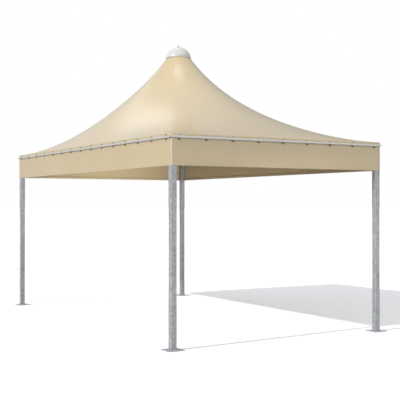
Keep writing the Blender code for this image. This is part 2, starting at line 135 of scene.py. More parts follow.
def new_material(name):
    """An empty material and its node tree."""
    made = bpy.data.materials.new(name)
    made.use_nodes = True
    made.node_tree.nodes.clear()
    return made, made.node_tree


def placed_mesh(name, points, faces, smooth=True):
    """A mesh object at the origin with its place in its points."""
    mesh = bpy.data.meshes.new(name)
    mesh.from_pydata([tuple(point) for point in points], [], faces)
    mesh.polygons.foreach_set("use_smooth", [smooth] * len(mesh.polygons))
    made = bpy.data.objects.new(name, mesh)
    bpy.context.scene.collection.objects.link(made)
    return made


def studio_light(name, kind, travel, strength):
    """A lamp that shines along travel."""
    lamp = bpy.data.lights.new(name, kind)
    lamp.energy = strength
    made = bpy.data.objects.new(name, lamp)
    made.rotation_mode = "QUATERNION"
    made.rotation_quaternion = travel.to_track_quat("-Z", "Y")
    bpy.context.scene.collection.objects.link(made)
    return made


rim = [(FLOOR_REACH * math.cos(2 * math.pi * i / FLOOR_SIDES),
        FLOOR_REACH * math.sin(2 * math.pi * i / FLOOR_SIDES), 0.0) for i in range(FLOOR_SIDES)]
floor = placed_mesh("studio_floor", rim, [tuple(range(FLOOR_SIDES))], smooth=False)
pale_floor, tree = new_material("pale_floor_paint")
bounced = add(tree, "ShaderNodeLightPath").outputs["Is Diffuse Ray"]
lean = (Vector((0, 0, 1)) - FLOOR_LEAN * KEY_TRAVEL).normalized()
leaning = add(tree, "ShaderNodeCombineXYZ", {"X": lean.x, "Y": lean.y, "Z": lean.z})
seen_paint = add(tree, "ShaderNodeBsdfDiffuse",
                 {"Color": FLOOR_WHITE, "Normal": leaning.outputs["Vector"]})
bounce_paint = add(tree, "ShaderNodeBsdfDiffuse", {"Color": FLOOR_BOUNCE})
paint = add(tree, "ShaderNodeMixShader", {"Fac": bounced, "Shader": seen_paint.outputs["BSDF"],
                                          "Shader_001": bounce_paint.outputs["BSDF"]})
add(tree, "ShaderNodeOutputMaterial", {"Surface": paint.outputs["Shader"]})
floor.data.materials.append(pale_floor)

key_travel = KEY_TRAVEL.normalized() * math.cos(KEY_HEIGHT) - Vector((0, 0, math.sin(KEY_HEIGHT)))
key = studio_light("key_light", "SUN", key_travel, KEY_STRENGTH)
key.data.angle = KEY_SOFTNESS

low_fill = studio_light("low_fill", "AREA", LOW_FILL_TARGET - LOW_FILL_PLACE, LOW_FILL_STRENGTH)
low_fill.location = LOW_FILL_PLACE
low_fill.data.shape = "RECTANGLE"
low_fill.data.size = LOW_FILL_WIDTH
low_fill.data.size_y = LOW_FILL_HEIGHT
low_fill.data.spread = LOW_FILL_SPREAD
low_fill.visible_camera = False

studio = bpy.data.worlds.new("studio_surround")
studio.use_nodes = True
studio.node_tree.nodes.clear()
tree = studio.node_tree
facing = add(tree, "ShaderNodeTexCoord").outputs["Generated"]
level = add(tree, "ShaderNodeValue").outputs["Value"]
level.default_value = SURROUND_LEVEL
for azimuth, elevation, full, faded, brightness in PANELS:
    towards = Vector((math.cos(math.radians(azimuth)) * math.cos(math.radians(elevation)),
                      math.sin(math.radians(azimuth)) * math.cos(math.radians(elevation)),
                      math.sin(math.radians(elevation))))
    aligned = add(tree, "ShaderNodeVectorMath", {"Vector": facing, "Vector_001": towards},
                  operation="DOT_PRODUCT")
    panel = add(tree, "ShaderNodeMapRange",
                {"Value": aligned.outputs["Value"], "From Min": math.cos(math.radians(faded)),
                 "From Max": math.cos(math.radians(full)), "To Max": brightness},
                interpolation_type="SMOOTHSTEP")
    level = add(tree, "ShaderNodeMath", {"Value": level, "Value_001": panel.outputs["Result"]},
                operation="ADD").outputs["Value"]
lit = add(tree, "ShaderNodeBackground", {"Color": (1.0, 1.0, 1.0, 1.0), "Strength": level})
paper = add(tree, "ShaderNodeBackground", {"Color": (1.0, 1.0, 1.0, 1.0), "Strength": 1.0})
seen = add(tree, "ShaderNodeLightPath").outputs["Is Camera Ray"]
either = add(tree, "ShaderNodeMixShader", {"Fac": seen, "Shader": lit.outputs["Background"],
                                           "Shader_001": paper.outputs["Background"]})
add(tree, "ShaderNodeOutputWorld", {"Surface": either.outputs["Shader"]})
bpy.context.scene.world = studio
bpy.context.scene.view_settings.view_transform = "Standard"


# Base plates and posts
# Square hollow steel posts, welded to flat base plates and hot-dip galvanised as one, which gives
# a dull grey zinc skin with pale and dark crystals and faint runs down the post.
CORNERS = {"front_left": (-1, -1), "front_right": (1, -1), "back_right": (1, 1), "back_left": (-1, 1)}
CRYSTAL_SIZE = 0.028
RUN_WIDTH = 0.011
RUN_LENGTH = 0.420
RUN_SHARE = 0.73
ZINC_DARK_END = 0.27
ZINC_LIGHT_END = 0.73
ZINC_METALLIC = 0.35
ZINC_GLOSSIER = 0.07
ZINC_DULLER = 0.10
ZINC_GRAIN = 220.0
ZINC_GRAIN_DEPTH = 0.001
WELD_RADIUS = 0.0045
WELD_RIPPLE_PITCH = 0.006
WELD_RIPPLE = 0.12
WELD_STEP = 0.003
WELD_SIDES = 8
POST_CORNER = 0.006
CORNER_STEPS = 4


def two_tones(tree, amount, first_end, first, second_end, second):
    """A colour that passes from the first sRGB colour to the second as amount goes between the ends."""
    tone = add(tree, "ShaderNodeValToRGB", {"Fac": amount})
    for stop, end, code in zip(tone.color_ramp.elements, (first_end, second_end), (first, second)):
        stop.position = end
        stop.color = linear(code)
    return tone.outputs["Color"]


def galvanised_steel(name, light, dark, roughness):
    """Hot-dip zinc: crystals, drawn wider than the real 15 mm so that they show, under the streaks
    of its runs. Weathering has dulled it, so only about a third of it still shines as metal."""
    made, tree = new_material(name)
    place = add(tree, "ShaderNodeTexCoord").outputs["Object"]
    crystals = add(tree, "ShaderNodeTexVoronoi",
                   {"Vector": place, "Scale": 1 / CRYSTAL_SIZE, "Randomness": 1.0})
    crystal_grey = add(tree, "ShaderNodeSeparateColor", {"Color": crystals.outputs["Color"]})
    stretched = add(tree, "ShaderNodeMapping",
                    {"Vector": place, "Scale": (1 / RUN_WIDTH, 1 / RUN_WIDTH, 1 / RUN_LENGTH)})
    runs = add(tree, "ShaderNodeTexNoise",
               {"Vector": stretched.outputs["Vector"], "Scale": 1.0, "Detail": 3.0})
    blend = add(tree, "ShaderNodeMix", {"Factor": RUN_SHARE, "A": crystal_grey.outputs["Red"],
                                        "B": runs.outputs["Fac"]}, data_type="FLOAT")
    tone = two_tones(tree, result(blend), ZINC_DARK_END, dark, ZINC_LIGHT_END, light)
    gloss = add(tree, "ShaderNodeMapRange",
                {"Value": crystal_grey.outputs["Green"], "To Min": roughness - ZINC_GLOSSIER,
                 "To Max": roughness + ZINC_DULLER})
    grain = add(tree, "ShaderNodeTexNoise", {"Vector": place, "Scale": ZINC_GRAIN, "Detail": 2.0})
    bump = add(tree, "ShaderNodeBump",
               {"Height": grain.outputs["Fac"], "Strength": 0.12, "Distance": ZINC_GRAIN_DEPTH})
    shader = add(tree, "ShaderNodeBsdfPrincipled",
                 {"Base Color": tone, "Metallic": ZINC_METALLIC, "Roughness": gloss.outputs["Result"],
                  "Normal": bump.outputs["Normal"]})
    add(tree, "ShaderNodeOutputMaterial", {"Surface": shader.outputs["BSDF"]})
    return made


def finish_nodes(names, material):
    """Gives CAD nodes their real finish through their objects' material slots."""
    for name in names:
        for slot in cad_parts[name].material_slots:
            slot.material = material


def new_tree(name, sockets):
    """A Geometry Nodes tree with named inputs; returns it with its input and output nodes."""
    tree = bpy.data.node_groups.new(name, "GeometryNodeTree")
    tree.interface.new_socket("Geometry", in_out="INPUT", socket_type="NodeSocketGeometry")
    for label, kind in sockets:
        tree.interface.new_socket(label, in_out="INPUT", socket_type=kind)
    tree.interface.new_socket("Geometry", in_out="OUTPUT", socket_type="NodeSocketGeometry")
    return tree, tree.nodes.new("NodeGroupInput")


def grown(name, start, tree, values):
    """The plain mesh that the tree makes from a start mesh; the modifier doesn't stay."""
    change = start.modifiers.new("grow", "NODES")
    change.node_group = tree
    for item in tree.interface.items_tree:
        if item.item_type == "SOCKET" and item.in_out == "INPUT" and item.name in values:
            change[item.identifier] = values[item.name]
    start.update_tag()
    graph = bpy.context.evaluated_depsgraph_get()
    mesh = bpy.data.meshes.new_from_object(start.evaluated_get(graph))
    bpy.data.objects.remove(start, do_unlink=True)
    made = bpy.data.objects.new(name, mesh)
    bpy.context.scene.collection.objects.link(made)
    return made


def weld_beads(name, paths, finish):
    """Weld beads along open or closed paths, with the small regular ripple that a bead sets in.
    They ride on the tent as one mesh."""
    points = [point for path, _ in paths for point in path]
    edges = []
    first = 0
    for path, closed in paths:
        edges += [(first + i, first + i + 1) for i in range(len(path) - 1)]
        if closed:
            edges.append((first + len(path) - 1, first))
        first += len(path)
    mesh = bpy.data.meshes.new(name + "_path")
    mesh.from_pydata([tuple(point) for point in points], edges, [])
    start = bpy.data.objects.new(name + "_path", mesh)
    bpy.context.scene.collection.objects.link(start)
    beads = grown(name, start, weld_tree,
                  {"Bead radius": WELD_RADIUS, "Ripple pitch": WELD_RIPPLE_PITCH, "Ripple": WELD_RIPPLE,
                   "Step": WELD_STEP, "Finish": finish})
    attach(beads, "root")


weld_tree, given = new_tree("weld_bead", [("Bead radius", "NodeSocketFloat"),
                                          ("Ripple pitch", "NodeSocketFloat"),
                                          ("Ripple", "NodeSocketFloat"), ("Step", "NodeSocketFloat"),
                                          ("Finish", "NodeSocketMaterial")])
line = add(weld_tree, "GeometryNodeMeshToCurve", {"Mesh": given.outputs["Geometry"]})
line = add(weld_tree, "GeometryNodeResampleCurve",
           {"Curve": line.outputs["Curve"], "Length": given.outputs["Step"]}, mode="LENGTH")
distance = add(weld_tree, "GeometryNodeSplineParameter")
turns = add(weld_tree, "ShaderNodeMath",
            {"Value": distance.outputs["Length"], "Value_001": given.outputs["Ripple pitch"]},
            operation="DIVIDE")
angle = add(weld_tree, "ShaderNodeMath", {"Value": turns.outputs["Value"], "Value_001": 2 * math.pi},
            operation="MULTIPLY")
wave = add(weld_tree, "ShaderNodeMath", {"Value": angle.outputs["Value"]}, operation="SINE")
swell = add(weld_tree, "ShaderNodeMath",
            {"Value": wave.outputs["Value"], "Value_001": given.outputs["Ripple"], "Value_002": 1.0},
            operation="MULTIPLY_ADD")
ring = add(weld_tree, "GeometryNodeCurvePrimitiveCircle",
           {"Resolution": WELD_SIDES, "Radius": given.outputs["Bead radius"]}, mode="RADIUS")
bead = add(weld_tree, "GeometryNodeCurveToMesh",
           {"Curve": line.outputs["Curve"], "Profile Curve": ring.outputs["Curve"],
            "Scale": swell.outputs["Value"], "Fill Caps": True})
bead = add(weld_tree, "GeometryNodeRealizeInstances", {"Geometry": bead.outputs["Mesh"]})
bead = add(weld_tree, "GeometryNodeSetMaterial",
           {"Geometry": bead.outputs["Geometry"], "Material": given.outputs["Finish"]})
add(weld_tree, "NodeGroupOutput", {"Geometry": bead.outputs["Geometry"]})

post_zinc = galvanised_steel("hot_dip_galvanised_post", "ABACAE", "828487", 0.50)
# The plates' zinc is painted lighter and bluer than the posts': painted light on their upward faces.
plate_zinc_painted_lighter = galvanised_steel("galvanised_plate_painted_lighter", "B8BBC0", "989CA3", 0.55)
weld_zinc = galvanised_steel("galvanised_weld", "A0A2A5", "7F8286", 0.55)
finish_nodes(["post_" + corner for corner in CORNERS], post_zinc)
finish_nodes(["base_plate_" + corner for corner in CORNERS], plate_zinc_painted_lighter)

post_welds = []
for corner in CORNERS:
    low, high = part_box("post_" + corner)
    middle = (low + high) / 2
    half = (high.x - low.x) / 2 - POST_CORNER
    foot = []
    for turn_x, turn_y, start in ((1, 1, 0), (-1, 1, 90), (-1, -1, 180), (1, -1, 270)):
        for i in range(CORNER_STEPS + 1):
            angle_here = math.radians(start + 90 * i / CORNER_STEPS)
            foot.append(Vector((middle.x + turn_x * half + POST_CORNER * math.cos(angle_here),
                                middle.y + turn_y * half + POST_CORNER * math.sin(angle_here), low.z)))
    post_welds.append((foot, True))
weld_beads("post_foot_welds", post_welds, weld_zinc)


# Eave beams and corner brackets
# Rectangular hollow beams run between the posts behind the valance. A flat bracket under each
# corner is bolted up into both beams, all of it galvanised like the posts.
BOLT_HEAD_WIDTH = 0.019
BOLT_HEAD_HEIGHT = 0.0075
WASHER_RADIUS = 0.0115
WASHER_THICKNESS = 0.0022
LONG_BEAM_BOLTS = (0.055, 0.215)
SHORT_BEAM_BOLTS = (0.050, 0.160)
WASHER_SIDES = 20
WASHER_SIDE_SHARE = 0.8
WASHER_TOP_SHARE = 0.96
HEX_CHAMFER_SHARE = 0.18
HEX_TOP_SHARE = 0.88
THREAD_SIDES = 10
THREAD_SHARE = 0.46
THREAD_TIP_SHARE = 0.38
THREAD_TIP_REACH = 1.2
PLATING_CLOUDS = 160.0
PLATING_GLOSSIER = 0.06
PLATING_DULLER = 0.10
UP = Vector((0, 0, 1))
DOWN = Vector((0, 0, -1))


def stacked(points, faces, sides, profile):
    """Adds a closed solid of straight-sided rings, from (radius, height) pairs, to points and faces."""
    first = len(points)
    for radius, height in profile:
        for i in range(sides):
            angle_here = 2 * math.pi * i / sides
            points.append((radius * math.cos(angle_here), radius * math.sin(angle_here), height))
    for level in range(len(profile) - 1):
        for i in range(sides):
            here = first + level * sides + i
            beside = first + level * sides + (i + 1) % sides
            faces.append((here, beside, beside + sides, here + sides))
    top = first + (len(profile) - 1) * sides
    faces.append(tuple(reversed(range(first, first + sides))))
    faces.append(tuple(range(top, top + sides)))


def hex_bolt(name, head_width, head_height, washer_radius, washer_thickness, stub=0.0):
    """A washer under a chamfered hexagon, with a length of thread past it where it is a nut."""
    points, faces = [], []
    edge = head_width / math.sqrt(3)
    stacked(points, faces, WASHER_SIDES,
            [(washer_radius, 0.0), (washer_radius, washer_thickness * WASHER_SIDE_SHARE),
             (washer_radius * WASHER_TOP_SHARE, washer_thickness)])
    top = washer_thickness + head_height
    stacked(points, faces, 6,
            [(edge, washer_thickness), (edge, top - head_height * HEX_CHAMFER_SHARE),
             (edge * HEX_TOP_SHARE, top)])
    if stub:
        stacked(points, faces, THREAD_SIDES,
                [(edge * THREAD_SHARE, top), (edge * THREAD_SHARE, top + stub),
                 (edge * THREAD_TIP_SHARE, top + stub * THREAD_TIP_REACH)])
    return placed_mesh(name, points, faces, smooth=False)


fixing_tree, given = new_tree("fixings", [("Pattern", "NodeSocketObject"),
                                          ("Finish", "NodeSocketMaterial")])
shape = add(fixing_tree, "GeometryNodeObjectInfo",
            {"Object": given.outputs["Pattern"], "As Instance": True})
facing = add(fixing_tree, "GeometryNodeInputNamedAttribute", {"Name": "facing"},
             data_type="FLOAT_VECTOR")
along = add(fixing_tree, "GeometryNodeInputNamedAttribute", {"Name": "along"},
            data_type="FLOAT_VECTOR")
turned = add(fixing_tree, "FunctionNodeAxesToRotation",
             {"Primary Axis": facing.outputs["Attribute"],
              "Secondary Axis": along.outputs["Attribute"]},
             primary_axis="Z", secondary_axis="X")
copies = add(fixing_tree, "GeometryNodeInstanceOnPoints",
             {"Points": given.outputs["Geometry"], "Instance": shape.outputs["Geometry"],
              "Rotation": turned.outputs["Rotation"]})
copies = add(fixing_tree, "GeometryNodeRealizeInstances", {"Geometry": copies.outputs["Instances"]})
copies = add(fixing_tree, "GeometryNodeSetMaterial",
             {"Geometry": copies.outputs["Geometry"], "Material": given.outputs["Finish"]})
add(fixing_tree, "NodeGroupOutput", {"Geometry": copies.outputs["Geometry"]})


def fixings(name, spots, pattern, finish):
    """One mesh with a copy of the pattern at each (place, facing, along); it rides on the tent."""
    start = placed_mesh(name + "_spots", [place for place, _, _ in spots], [])
    for label, column in (("facing", 1), ("along", 2)):
        directions = start.data.attributes.new(label, "FLOAT_VECTOR", "POINT")
        directions.data.foreach_set("vector", [c for spot in spots for c in spot[column]])
    made = grown(name, start, fixing_tree, {"Pattern": pattern, "Finish": finish})
    for label in ("facing", "along"):
        if label in made.data.attributes:
            made.data.attributes.remove(made.data.attributes[label])
    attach(made, "root")


def plated_steel(name, light, dark, roughness):
    """Plated or turned bright metal, with soft cloudy patches a few millimetres wide."""
    made, tree = new_material(name)
    place = add(tree, "ShaderNodeTexCoord").outputs["Object"]
    clouds = add(tree, "ShaderNodeTexNoise", {"Vector": place, "Scale": PLATING_CLOUDS, "Detail": 4.0})
    tone = two_tones(tree, clouds.outputs["Fac"], 0.35, dark, 0.65, light)
    gloss = add(tree, "ShaderNodeMapRange",
                {"Value": clouds.outputs["Fac"], "To Min": roughness - PLATING_GLOSSIER,
                 "To Max": roughness + PLATING_DULLER})
    shader = add(tree, "ShaderNodeBsdfPrincipled",
                 {"Base Color": tone, "Metallic": 1.0, "Roughness": gloss.outputs["Result"]})
    add(tree, "ShaderNodeOutputMaterial", {"Surface": shader.outputs["BSDF"]})
    return made


beam_zinc = galvanised_steel("hot_dip_galvanised_beam", "A6A8AB", "7E8185", 0.50)
bright_zinc = plated_steel("bright_zinc_plating", "C9CBCC", "9DA0A3", 0.34)
finish_nodes(["eave_beam_" + side for side in ("front", "back", "left", "right")], beam_zinc)
# The brackets take the plates' zinc, which is painted lighter as light on upward faces.
finish_nodes(["corner_bracket_" + corner for corner in CORNERS], plate_zinc_painted_lighter)

bolt = hex_bolt("bracket_bolt", BOLT_HEAD_WIDTH, BOLT_HEAD_HEIGHT, WASHER_RADIUS, WASHER_THICKNESS)
spots = []
long_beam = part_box("eave_beam_front")
short_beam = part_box("eave_beam_right")
for corner, (side_x, side_y) in CORNERS.items():
    post_low, post_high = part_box("post_" + corner)
    plate_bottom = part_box("corner_bracket_" + corner)[0].z
    beam_y = side_y * abs(long_beam[0].y + long_beam[1].y) / 2
    beam_x = side_x * abs(short_beam[0].x + short_beam[1].x) / 2
    inner_x = (post_low if side_x > 0 else post_high).x
    inner_y = (post_low if side_y > 0 else post_high).y
    for reach in LONG_BEAM_BOLTS:
        place = Vector((inner_x - side_x * reach, beam_y, plate_bottom))
        spots.append((place, DOWN, Vector((1, 0, 0))))
    for reach in SHORT_BEAM_BOLTS:
        place = Vector((beam_x, inner_y - side_y * reach, plate_bottom))
        spots.append((place, DOWN, Vector((0, 1, 0))))
fixings("bracket_bolts", spots, bolt, bright_zinc)


# Flying mast, its hub and the four raking struts
# A short steel mast stands on four tube struts that rise from the corner brackets. Each strut is
# slotted over a lug at both ends and held by one bolt and nut; all of it galvanised.
PIVOT_HEAD_WIDTH = 0.019
PIVOT_HEAD_HEIGHT = 0.008
THREAD_PAST_NUT = 0.006
HUB_PIVOT_RADIUS = 0.094
EAVE_PIVOT_RADIUS = 2.798
HUB_PIVOT_HEIGHT = 2.715
EAVE_PIVOT_HEIGHT = 2.343
STRUT_RADIUS = 0.0212
LUG_HALF_THICKNESS = 0.004
HUB_SLEEVE_RADIUS = 0.0363
HUB_WELD_ENDS = (2.684, 2.746)
EAVE_WELD_ENDS = (2.768, 2.848)
# Solids that touch are drawn this far apart
GAP = 0.0003

tube_zinc = galvanised_steel("hot_dip_galvanised_tube", "A6A8AB", "7E8185", 0.48)
finish_nodes(["strut_" + corner for corner in CORNERS] + ["mast", "mast_hub"], tube_zinc)

post_low, post_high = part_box("post_back_right")
diagonal = math.atan2((post_low.y + post_high.y) / 2, (post_low.x + post_high.x) / 2)
heads, nuts, lug_welds = [], [], []
lug_plate_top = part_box("eave_beam_front")[0].z - GAP
for side_x, side_y in CORNERS.values():
    outward = Vector((side_x * math.cos(diagonal), side_y * math.sin(diagonal), 0))
    sideways = UP.cross(outward)
    for radius, height in ((HUB_PIVOT_RADIUS, HUB_PIVOT_HEIGHT),
                           (EAVE_PIVOT_RADIUS, EAVE_PIVOT_HEIGHT)):
        middle = outward * radius + UP * height
        heads.append((middle + sideways * STRUT_RADIUS, sideways, outward))
        nuts.append((middle - sideways * STRUT_RADIUS, -sideways, outward))
    for face in (-LUG_HALF_THICKNESS, LUG_HALF_THICKNESS):
        edge = outward * HUB_SLEEVE_RADIUS + sideways * face
        lug_welds.append(([edge + UP * height for height in HUB_WELD_ENDS], False))
        edge = sideways * face + UP * lug_plate_top
        lug_welds.append(([edge + outward * radius for radius in EAVE_WELD_ENDS], False))
pivot_head = hex_bolt("pivot_head", PIVOT_HEAD_WIDTH, PIVOT_HEAD_HEIGHT, WASHER_RADIUS,
                      WASHER_THICKNESS)
pivot_nut = hex_bolt("pivot_nut", PIVOT_HEAD_WIDTH, PIVOT_HEAD_HEIGHT, WASHER_RADIUS,
                     WASHER_THICKNESS, THREAD_PAST_NUT)
fixings("strut_bolt_heads", heads, pivot_head, bright_zinc)
fixings("strut_nuts", nuts, pivot_nut, bright_zinc)
weld_beads("lug_welds", lug_welds, weld_zinc)


# Crown ring
# A steel ring bar on four flat spokes round the mast; the skin's top is stretched over it and
# stays hidden under the dome cap.
finish_nodes(["crown_ring"], tube_zinc)


# Canopy
# One welded sheet of PVC-coated polyester: the roof, stretched from the crown ring down to the
# eave, folds over the beams and hangs as a flat valance with a welded hem.
HALF_LENGTH = 2.575
HALF_WIDTH = 1.500
EAVE_HEIGHT = 2.390
VALANCE_BOTTOM = 2.030
SKIN_TOP_RADIUS = 0.130
SKIN_TOP_HEIGHT = 3.766
HOOP_TO_RADIAL_TENSION = 0.416
RINGS = 30
RING_SPREAD = 1.5
LONG_SIDE_STEPS = 30
SHORT_SIDE_STEPS = 18
FOLD_RADIUS = 0.008
ARC_PULL = 1 - math.sqrt(0.5)
HEM_WIDTH = 0.040
HEM_GROOVE = 0.0004
HEM_DEPTH = 0.0026
SHEET_THICKNESS = 0.0012
RIPPLE_DEPTH = 0.0016
RIPPLE_PITCH = 0.350
RIPPLE_CLEAR_OF_CORNER = 0.350
VALANCE_TOP_ROW = 0.020
VALANCE_STEPS = 6
HEM_EDGE = 0.008
HEM_WELD = 0.002
HEM_BEND = 0.003
HEM_ROUND = 0.0005
HEM_MIDDLE = 0.020
CROWN_BAR_RADIUS = 0.0125
CROWN_TURN_END = math.radians(160)
CROWN_TURN_RADIUS = 0.0167
CROWN_TURN_ROWS = 4
FABRIC_LIGHT = "CFBD97"
FABRIC_DARK = "CCBA94"
FABRIC_WELD = "C9B791"
FABRIC_CORNER_HIGHLIGHT = "DCD6C8"
FABRIC_INNER_GLOW = "F5E9CF"
FABRIC_ROUGHNESS = 0.22
FABRIC_WEAR = 0.05
FABRIC_LACQUER = 1.0
FABRIC_THROUGH = 0.24
FABRIC_CLOUDS = 1.3
FABRIC_WEAR_SCALE = 7.0
HIP_WELD_HALF_WIDTH = 0.015
HIP_WELD_EDGE = 0.002
HIP_WELD_TINT = 0.35
HIP_WELD_RELIEF = 0.0006
# The pale stripe down each valance corner is a painted highlight on the rounded fold
CORNER_HIGHLIGHT_WIDTH = 0.0045
CORNER_HIGHLIGHT_EDGE = 0.001
CORNER_HIGHLIGHT_TINT = 0.85
CORNER_HIGHLIGHT_TOP = 2.335
SCRIM_PITCH = 0.006
SCRIM_RELIEF = 0.001


def eave_columns():
    """Round the eave from the front left corner: place, outward direction and whether a corner."""
    columns = []
    corners = [(-1, -1), (1, -1), (1, 1), (-1, 1)]
    outs = [(0, -1), (1, 0), (0, 1), (-1, 0)]
    for side in range(4):
        start = np.array(corners[side]) * (HALF_LENGTH, HALF_WIDTH)
        end = np.array(corners[(side + 1) % 4]) * (HALF_LENGTH, HALF_WIDTH)
        out = np.array(outs[side], float)
        length = np.linalg.norm(end - start)
        run = (end - start) / length
        count = LONG_SIDE_STEPS if side % 2 == 0 else SHORT_SIDE_STEPS
        columns.append((start, np.array(corners[side], float), True, side))
        stops = [FOLD_RADIUS] + [length * k / count for k in range(1, count)] + [length - FOLD_RADIUS]
        for stop in stops:
            columns.append((start + run * stop, out, False, side))
    return columns


def stretched_heights(plan):
    """Heights of a net in tension, mostly from crown to eave, held at both of its edges."""
    rows, count = plan.shape[:2]
    index = np.arange(rows * count).reshape(rows, count)
    after = np.roll(index, -1, axis=1)
    a, b, c, d = index[:-1].ravel(), after[:-1].ravel(), after[1:].ravel(), index[1:].ravel()
    halves = ((a, b, c), (a, c, d), (a, b, d), (b, c, d))
    triangles = np.concatenate([np.stack(three, 1) for three in halves])
    spots = plan.reshape(-1, 2)[triangles]
    edges = np.stack([spots[:, 2] - spots[:, 1], spots[:, 0] - spots[:, 2],
                      spots[:, 1] - spots[:, 0]], 1)
    doubled = edges[:, 0, 0] * edges[:, 1, 1] - edges[:, 0, 1] * edges[:, 1, 0]
    slopes = np.stack([-edges[:, :, 1], edges[:, :, 0]], -1) / doubled[:, None, None]
    centres = spots.mean(1)
    radius = np.linalg.norm(centres, axis=1)
    radial = centres / radius[:, None]
    hoop = np.stack([-radial[:, 1], radial[:, 0]], -1)
    down = (slopes * radial[:, None, :]).sum(-1)
    around = (slopes * hoop[:, None, :]).sum(-1)
    tension = radius ** (HOOP_TO_RADIAL_TENSION - 1) * np.abs(doubled) / 4
    share = down[:, :, None] * down[:, None, :]
    share = share + HOOP_TO_RADIAL_TENSION * around[:, :, None] * around[:, None, :]
    share = share * tension[:, None, None]
    balance = np.zeros((rows * count, rows * count))
    np.add.at(balance, (triangles[:, :, None], triangles[:, None, :]), share)
    heights = np.empty(rows * count)
    heights[index[0]] = SKIN_TOP_HEIGHT
    heights[index[-1]] = EAVE_HEIGHT
    free = index[1:-1].ravel()
    held = np.concatenate([index[0], index[-1]])
    load = -balance[np.ix_(free, held)] @ heights[held]
    heights[free] = np.linalg.solve(balance[np.ix_(free, free)], load)
    return heights.reshape(rows, count)


def inset(column, distance):
    """A column's place moved in from the valance face, with the corner itself rounded off."""
    place, out, is_corner, _ = column
    if not is_corner:
        return place - out * distance
    return place - out * (distance + ARC_PULL * (FOLD_RADIUS - distance))


def canopy_rows():
    """All rows of the sheet, from the crown turn to the turned-up hem, as arrays of points."""
    columns = eave_columns()
    eave = np.array([column[0] for column in columns])
    crown = SKIN_TOP_RADIUS * eave / np.linalg.norm(eave, axis=1, keepdims=True)
    reach = (np.arange(RINGS + 1) / RINGS) ** RING_SPREAD
    plan = crown[None] + reach[:, None, None] * (eave - crown)[None]
    heights = stretched_heights(plan)
    rows = []
    ring_low, ring_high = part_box("crown_ring")
    bar_height = (ring_low.z + ring_high.z) / 2
    bar_radius = ring_high.x - CROWN_BAR_RADIUS
    away = np.array([SKIN_TOP_RADIUS - bar_radius, SKIN_TOP_HEIGHT - bar_height])
    first_turn = math.atan2(away[1], away[0])
    first_radius = float(np.hypot(*away))
    direction = crown / SKIN_TOP_RADIUS
    for i in range(CROWN_TURN_ROWS, 0, -1):
        share = i / CROWN_TURN_ROWS
        turn = first_turn + (CROWN_TURN_END - first_turn) * share
        radius = first_radius + (CROWN_TURN_RADIUS - first_radius) * share
        place = direction * (bar_radius + radius * math.cos(turn))
        height = bar_height + radius * math.sin(turn)
        rows.append(np.column_stack([place, np.full(len(eave), height)]))
    for i in range(RINGS):
        rows.append(np.column_stack([plan[i], heights[i]]))
    fold = np.array([inset(column, FOLD_RADIUS) for column in columns])
    fall = heights[RINGS - 1] - EAVE_HEIGHT
    span = np.linalg.norm(eave - plan[RINGS - 1], axis=1)
    share = np.linalg.norm(eave - fold, axis=1) / span
    rows.append(np.column_stack([fold, EAVE_HEIGHT + fall * share]))
    pulled = ARC_PULL * FOLD_RADIUS
    levels = [(EAVE_HEIGHT - pulled, pulled), (EAVE_HEIGHT - FOLD_RADIUS, 0.0)]
    hem_top = VALANCE_BOTTOM + HEM_WIDTH
    flat_top = EAVE_HEIGHT - VALANCE_TOP_ROW
    flat_drop = flat_top - hem_top - HEM_EDGE
    levels += [(flat_top - flat_drop * i / VALANCE_STEPS, 0.0) for i in range(VALANCE_STEPS + 1)]
    levels += [(hem_top + HEM_WELD, 0.0), (hem_top, HEM_GROOVE), (hem_top - HEM_WELD, 0.0)]
    turned_up = [(HEM_MIDDLE, 0.0), (HEM_BEND, 0.0), (HEM_ROUND, HEM_ROUND), (0.0, HEM_DEPTH / 2),
                 (HEM_ROUND, HEM_DEPTH - HEM_ROUND), (HEM_BEND, HEM_DEPTH), (HEM_MIDDLE, HEM_DEPTH),
                 (HEM_WIDTH, HEM_DEPTH)]
    levels += [(VALANCE_BOTTOM + height, depth) for height, depth in turned_up]
    for height, depth in levels:
        place = np.array([inset(column, depth) for column in columns])
        rows.append(np.column_stack([place, np.full(len(eave), height)]))
    return rows, columns


def add_ripple(rows, columns):
    """The valance swells out by a millimetre or two between clamps, more towards its hem."""
    top = EAVE_HEIGHT - FOLD_RADIUS
    for row in rows:
        for j, (_, out, is_corner, side) in enumerate(columns):
            if is_corner or row[j, 2] > top:
                continue
            place = row[j, 0] if side % 2 == 0 else row[j, 1]
            end = HALF_LENGTH if side % 2 == 0 else HALF_WIDTH
            clear = min(1.0, (end - abs(place)) / RIPPLE_CLEAR_OF_CORNER)
            drop = (top - row[j, 2]) / (top - VALANCE_BOTTOM)
            swell = 0.5 - 0.5 * math.cos(2 * math.pi * (place / RIPPLE_PITCH + 0.5))
            row[j, :2] += out * (RIPPLE_DEPTH * swell * clear * clear * drop)


